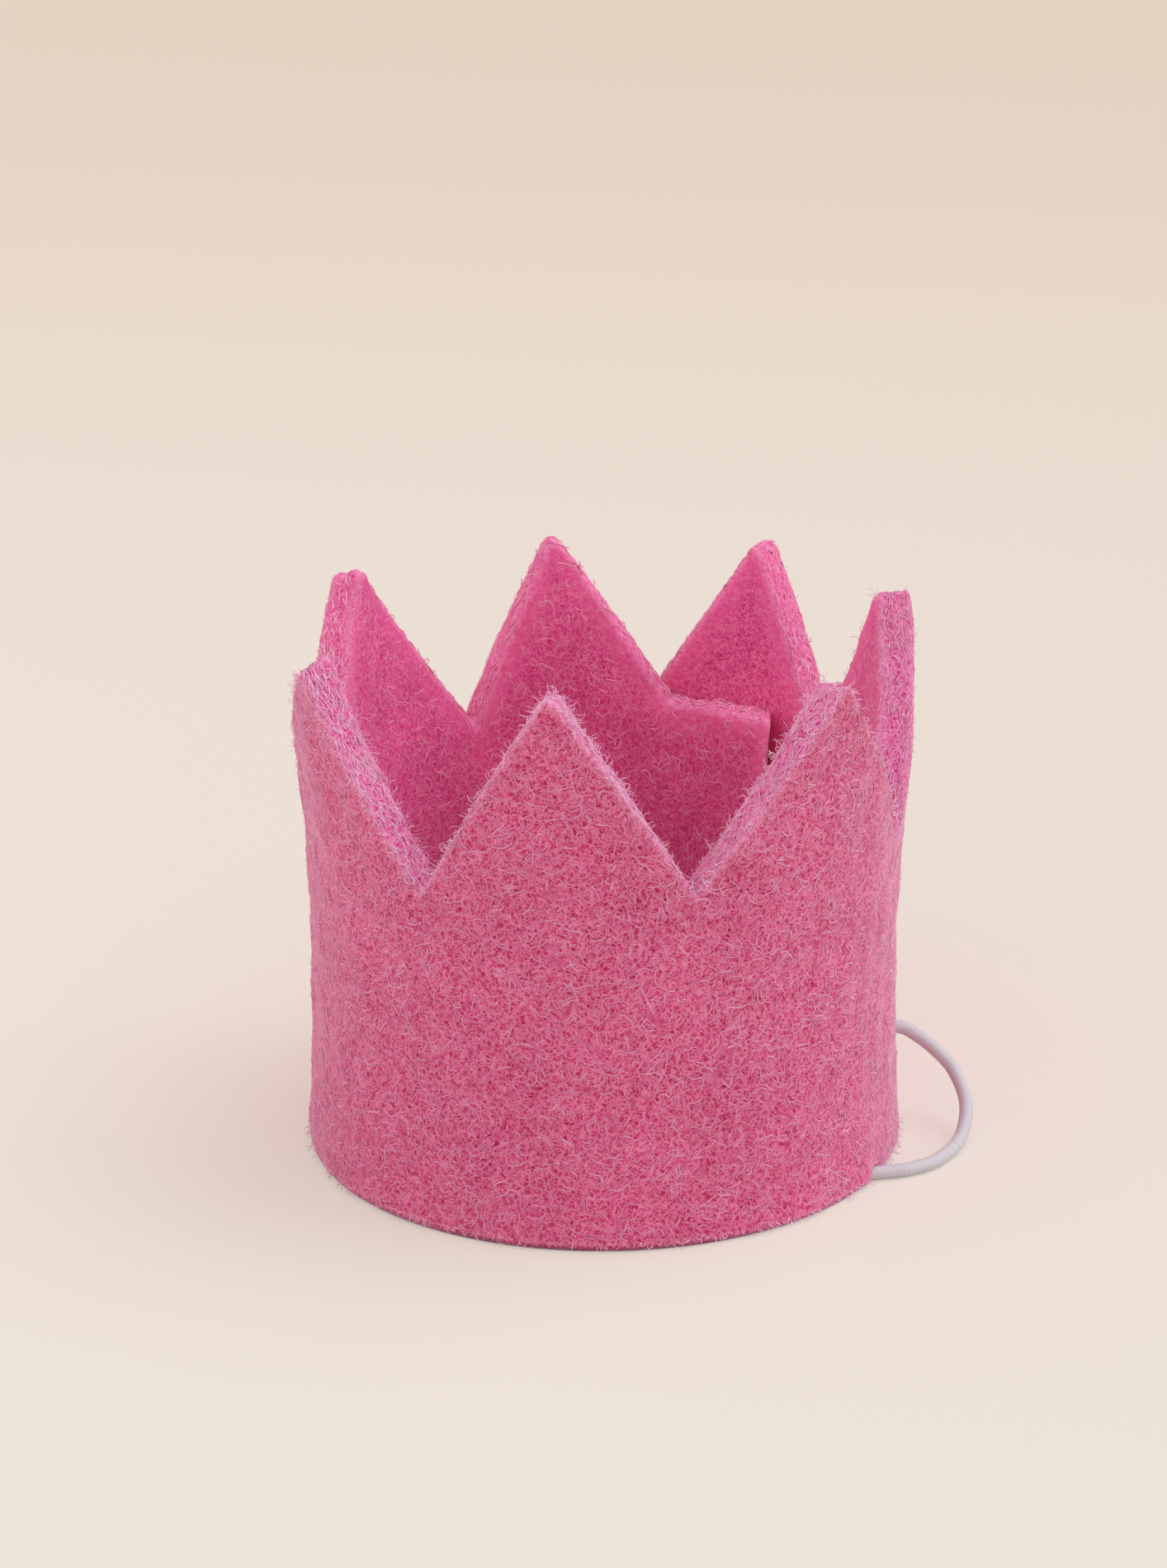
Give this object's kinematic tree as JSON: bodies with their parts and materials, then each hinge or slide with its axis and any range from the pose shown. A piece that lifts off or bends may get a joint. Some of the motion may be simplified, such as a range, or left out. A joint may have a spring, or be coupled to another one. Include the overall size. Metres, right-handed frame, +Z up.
{
  "type": "birthday crown",
  "caption": "Small party crown: a strip of thick pink felt cut into points, rolled and lapped into a ring, with a round white chin elastic.",
  "frame": {"origin": "middle of the crown's box, on the surface that its lower edge stands on", "axes": "+Z up, -Y to the front as pictured, +X to the side with the loose loop of elastic"},
  "size_m": [0.0965, 0.0857, 0.079],
  "materials": {
    "felt": "fibrous pressed wool felt, paler along the cut edges",
    "elastic": "braided round elastic, dull white"
  },
  "bodies": {
    "root": {"felt_band": "felt", "chin_elastic": "elastic", "knot_right": "elastic", "knot_left": "elastic"}
  },
  "joints": []
}
